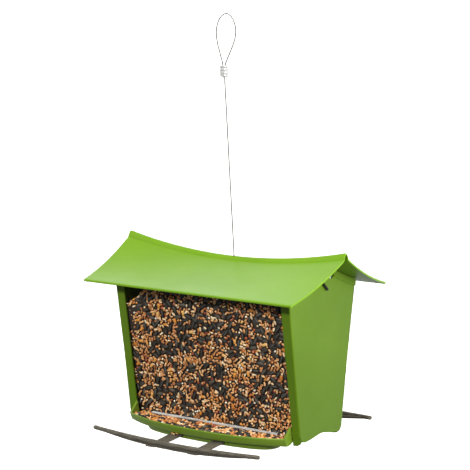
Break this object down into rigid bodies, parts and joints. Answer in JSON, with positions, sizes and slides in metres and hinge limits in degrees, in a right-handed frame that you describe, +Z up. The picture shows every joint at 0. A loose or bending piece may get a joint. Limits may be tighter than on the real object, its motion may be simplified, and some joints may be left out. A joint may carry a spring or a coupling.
{
  "type": "hanging hopper bird feeder",
  "caption": "Hanging bird feeder: a moulded seed hopper with clear front and back windows, feeding trays and perches on both sides, and a saddle roof that slides up its hanging cable.",
  "frame": {"origin": "inside the top of the cable's hanging loop, where a hook carries the feeder", "axes": "+X along the ridge, +Y from front to back, +Z up"},
  "size_m": [0.349, 0.2802, 0.5487],
  "materials": {
    "roof_plastic": "satin moulded polypropylene, yellow-green",
    "hopper_plastic": "satin moulded polypropylene, leaf green",
    "tray_plastic": "satin moulded polypropylene, leaf green",
    "clear_plastic": "clear, glossy, lightly scuffed",
    "perch_plastic": "grey-brown with fine lengthwise ridges",
    "rod_steel": "drawn, zinc plated",
    "cable_steel": "stranded wire rope",
    "ferrule_metal": "pressed, satin",
    "screw_steel": "zinc plated",
    "seed_mix": "loose mixed seed: millet, cracked maize, milo and black sunflower"
  },
  "bodies": {
    "hopper": {"left_end_wall": "hopper_plastic", "right_end_wall": "hopper_plastic", "seed_tray_base": "tray_plastic", "front_window": "clear_plastic", "rear_window": "clear_plastic", "front_perch": "perch_plastic", "rear_perch": "perch_plastic", "hanger_rod": "rod_steel", "hanger_cable": "cable_steel", "upper_ferrule": "ferrule_metal", "lower_ferrule": "ferrule_metal", "base_screws": "screw_steel", "hopper_seed": "seed_mix", "front_tray_seed": "seed_mix", "rear_tray_seed": "seed_mix"},
    "roof": {"roof": "roof_plastic"}
  },
  "joints": [
    {"name": "roof_lift", "type": "slide", "parent": "hopper", "child": "roof", "axis": [-0.0652, 0, 0.9979], "range_m": [0, 0.2]}
  ]
}
